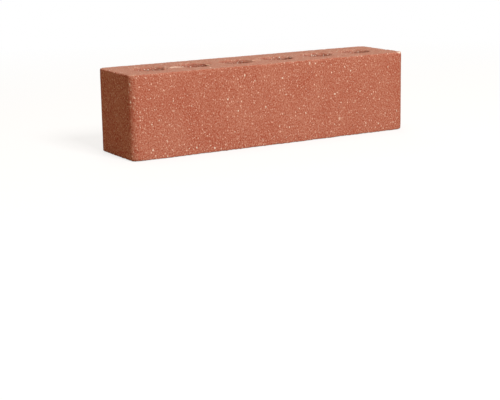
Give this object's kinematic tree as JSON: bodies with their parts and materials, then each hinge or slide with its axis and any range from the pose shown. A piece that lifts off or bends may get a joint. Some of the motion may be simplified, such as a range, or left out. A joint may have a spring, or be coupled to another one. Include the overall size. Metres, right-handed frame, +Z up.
{
  "type": "facing brick",
  "caption": "Narrow terracotta facing brick with square faces, rounded upright arrises and a row of round holes through its beds.",
  "frame": {"origin": "middle of the lower bed face", "axes": "+X along the brick, +Y from the face that shows to the back, +Z up through the holes"},
  "size_m": [0.25, 0.06, 0.065],
  "materials": {
    "fired_clay": "unglazed, fine gritty fired clay"
  },
  "bodies": {
    "root": {"brick": "fired_clay"}
  },
  "joints": []
}
